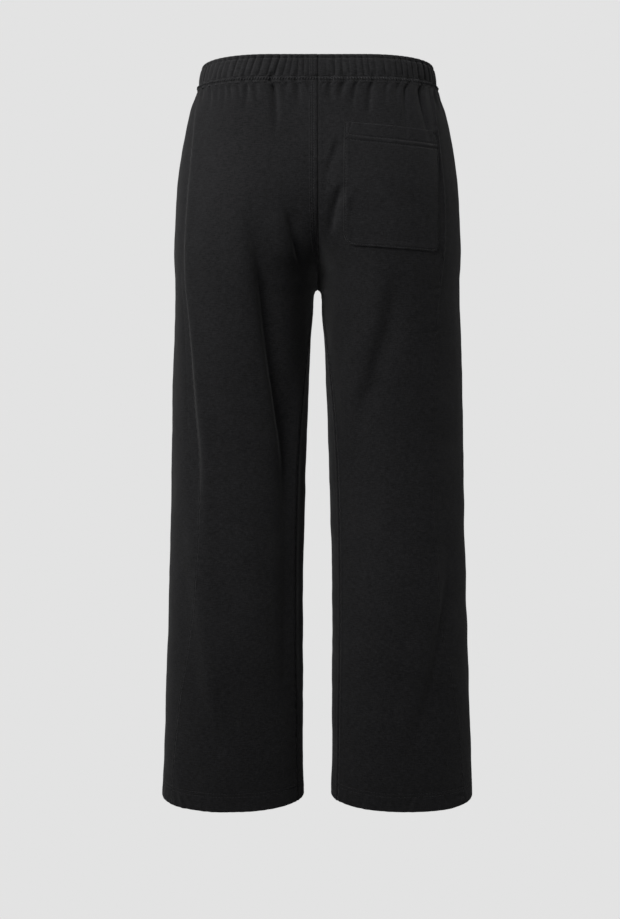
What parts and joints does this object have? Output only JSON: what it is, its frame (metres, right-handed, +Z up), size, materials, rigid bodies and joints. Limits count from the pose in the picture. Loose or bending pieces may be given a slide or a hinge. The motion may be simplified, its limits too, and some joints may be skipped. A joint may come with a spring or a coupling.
{
  "type": "straight-leg sweatpants",
  "caption": "Black fleece sweatpants with wide straight legs, a ribbed elastic waistband and a back patch pocket, hollow and filled out as if worn.",
  "frame": {"origin": "the centre of the waist opening at the waistband's middle height, where a wearer's waist holds the garment up", "axes": "+Z up towards the waist opening, +Y the way the wearer faces, +X towards the wearer's right leg"},
  "size_m": [0.4401, 0.2544, 1.0304],
  "materials": {
    "fleece": "matt brushed fleece jersey, black with a fine heather",
    "rib": "matt ribbed elastic knit, black",
    "pocket_fleece": "matt brushed fleece jersey, black with a fine heather"
  },
  "bodies": {
    "root": {"back_left": "fleece", "back_right": "fleece", "front_left": "fleece", "front_right": "fleece", "waistband": "rib", "back_pocket": "pocket_fleece"}
  },
  "joints": []
}
